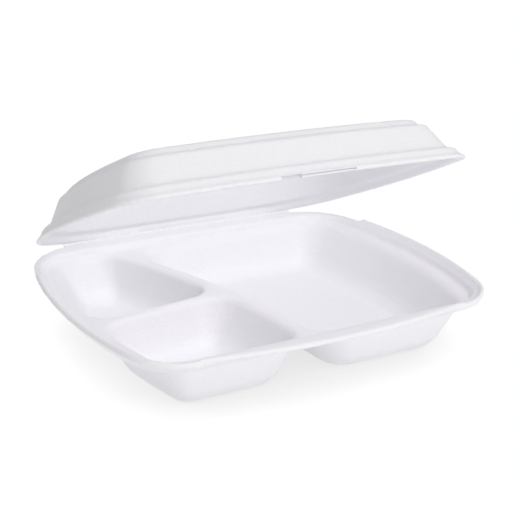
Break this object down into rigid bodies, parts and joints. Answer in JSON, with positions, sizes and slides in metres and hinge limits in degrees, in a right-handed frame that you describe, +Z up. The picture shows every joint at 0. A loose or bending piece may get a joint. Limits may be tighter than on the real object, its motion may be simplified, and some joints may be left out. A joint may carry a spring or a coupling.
{
  "type": "hinged foam meal box",
  "caption": "White foam meal box: a tray parted into one large and two small compartments, with a domed lid hinged along the back whose lip nests in the tray's rim.",
  "frame": {"origin": "on the table, under the middle of the box as it stands with its lid open 23.2 degrees", "axes": "+X right along the hinge, +Y back towards the hinge, +Z up"},
  "size_m": [0.24, 0.2161, 0.1309],
  "materials": {
    "foam": "matt white foam with a fine bead grain"
  },
  "bodies": {
    "tray": {"tray": "foam", "hinge_strip": "foam"},
    "lid": {"lid": "foam"}
  },
  "joints": [
    {"name": "lid_hinge", "type": "hinge", "parent": "tray", "child": "lid", "pos_m": [0, 0.1054, 0.0351], "axis": [-1, 0, 0], "range_deg": [-23.2, 156.8]}
  ]
}
